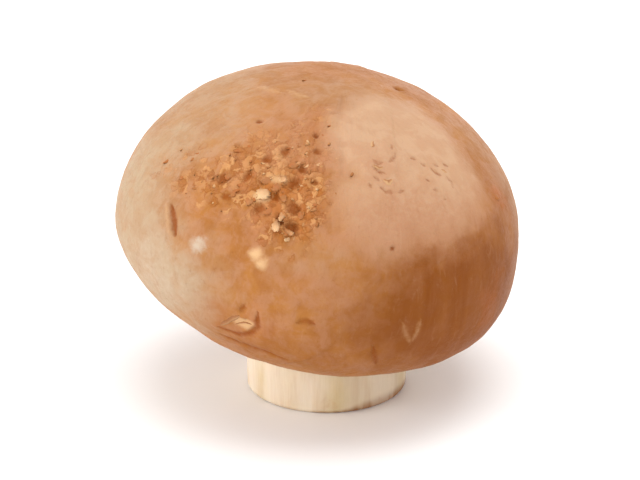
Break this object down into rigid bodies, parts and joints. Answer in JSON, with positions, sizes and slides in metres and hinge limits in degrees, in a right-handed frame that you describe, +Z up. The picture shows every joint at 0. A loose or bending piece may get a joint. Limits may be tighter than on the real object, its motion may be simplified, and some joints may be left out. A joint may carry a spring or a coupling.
{
  "type": "button mushroom",
  "caption": "Closed-cup brown button mushroom with a domed, scaly cap, an unbroken veil and a short trimmed stem, standing on its cut end.",
  "frame": {"origin": "centre of the cut end of the stem, on the surface that the mushroom stands on", "axes": "+Z up along the stem; -Y is the front; the cap leans a little towards +X"},
  "size_m": [0.0498, 0.0492, 0.041],
  "materials": {
    "cap_skin": "satin",
    "stem_flesh": "matte"
  },
  "bodies": {
    "root": {"cap": "cap_skin", "stem": "stem_flesh"}
  },
  "joints": []
}
